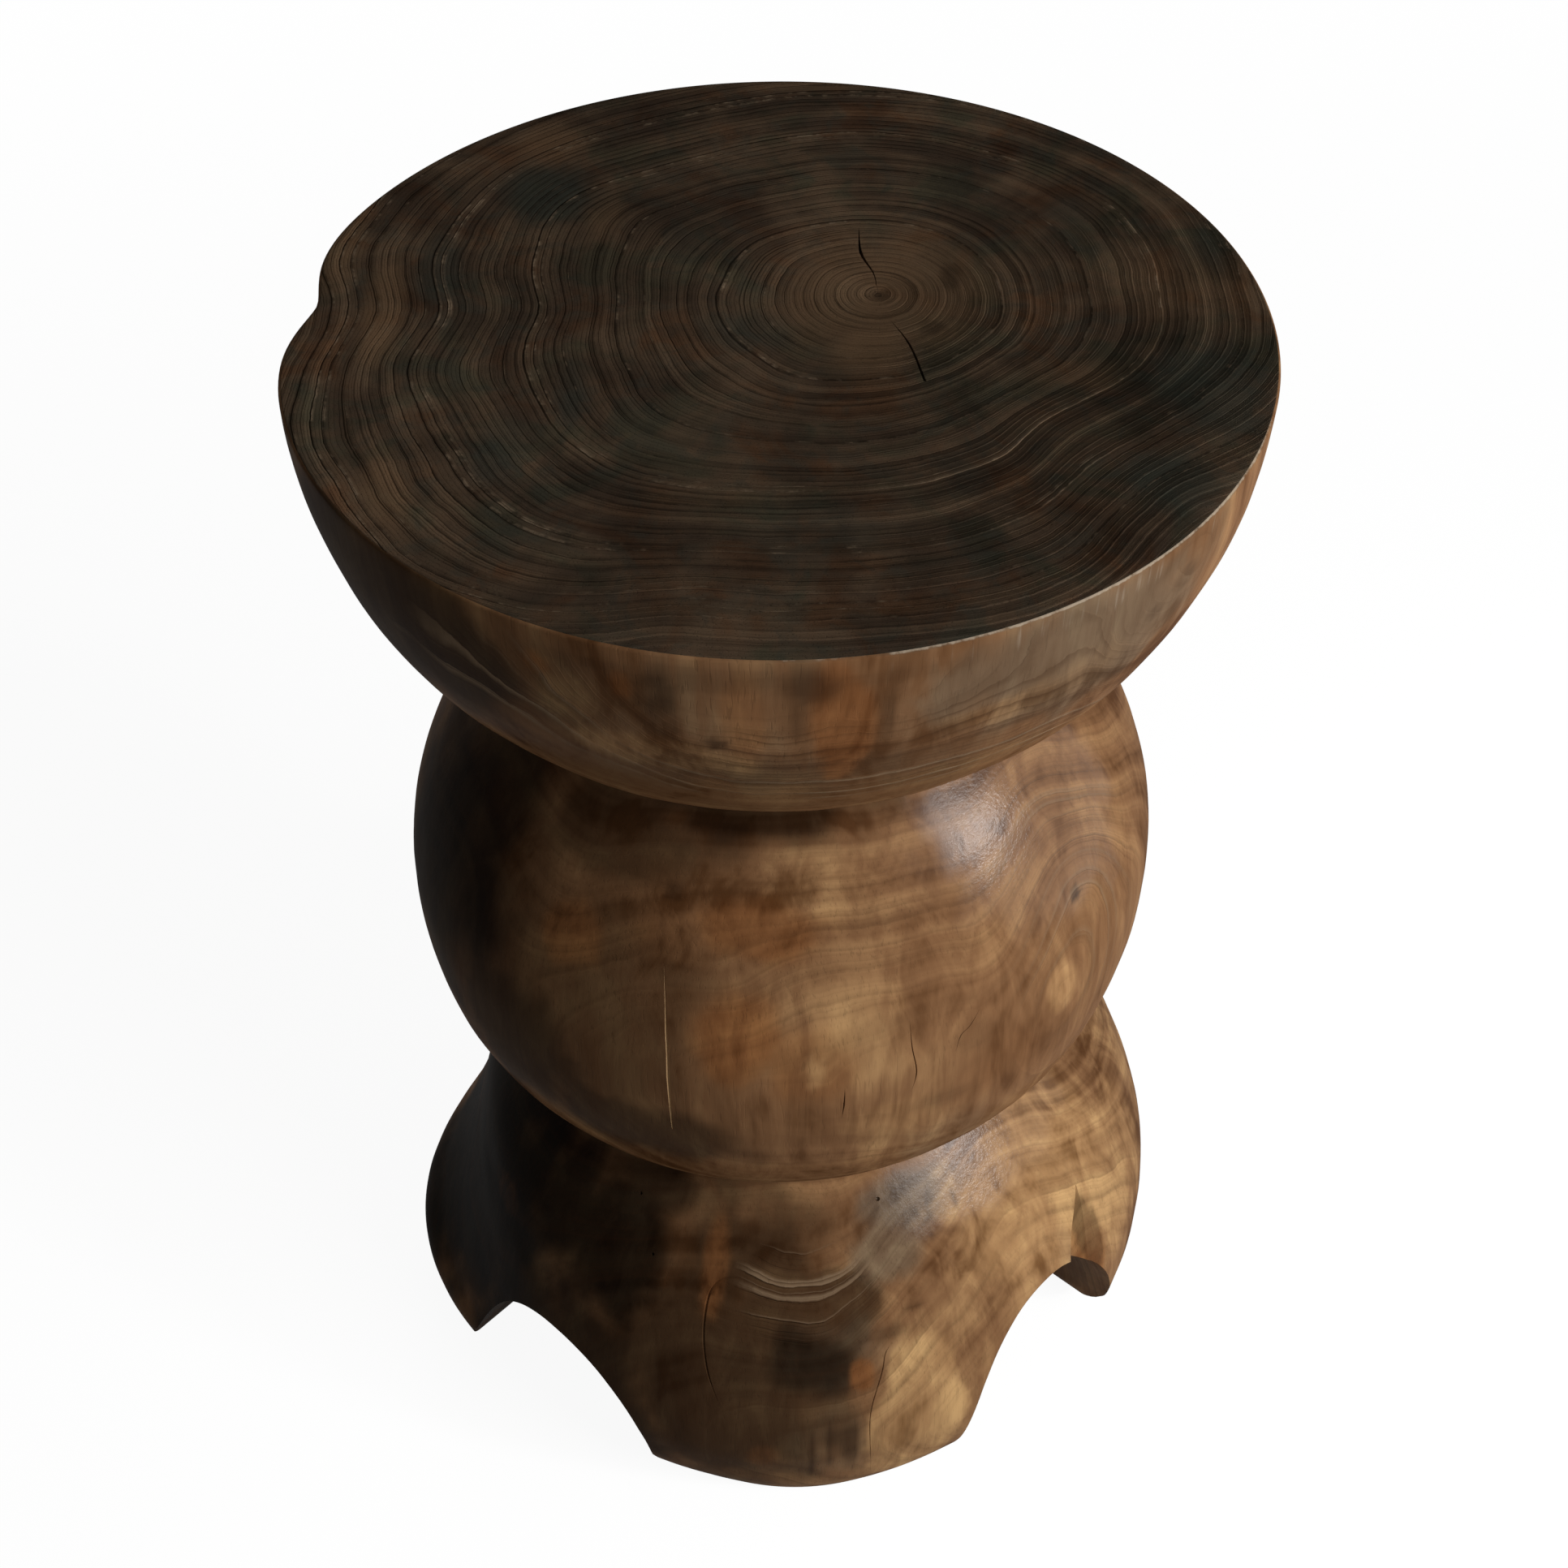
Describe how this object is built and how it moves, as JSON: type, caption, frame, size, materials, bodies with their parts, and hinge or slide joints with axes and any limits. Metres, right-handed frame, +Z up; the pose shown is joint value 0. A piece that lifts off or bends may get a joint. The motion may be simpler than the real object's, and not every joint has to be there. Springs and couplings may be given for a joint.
{
  "type": "stool",
  "caption": "Carved solid-wood stool: a flat-topped bowl seat on a ball waist and a domed base that crossing arch tunnels split into feet with nail-on glides",
  "frame": {"origin": "on the floor under the middle of the seat", "axes": "+Z is up through the seat; +X points out of the taller arch mouth, the one with the crevice above it; -Y points out of the lower arch mouth beside it; the feet stand on the diagonals"},
  "size_m": [0.304, 0.304, 0.45],
  "materials": {
    "carved_wood": "satin",
    "nylon": "matte",
    "steel": "brushed"
  },
  "bodies": {
    "root": {"carved_body": "carved_wood", "glide_front": "nylon", "glide_right": "nylon", "glide_back": "nylon", "glide_left": "nylon", "glide_nail_front": "steel", "glide_nail_right": "steel", "glide_nail_back": "steel", "glide_nail_left": "steel"}
  },
  "joints": []
}
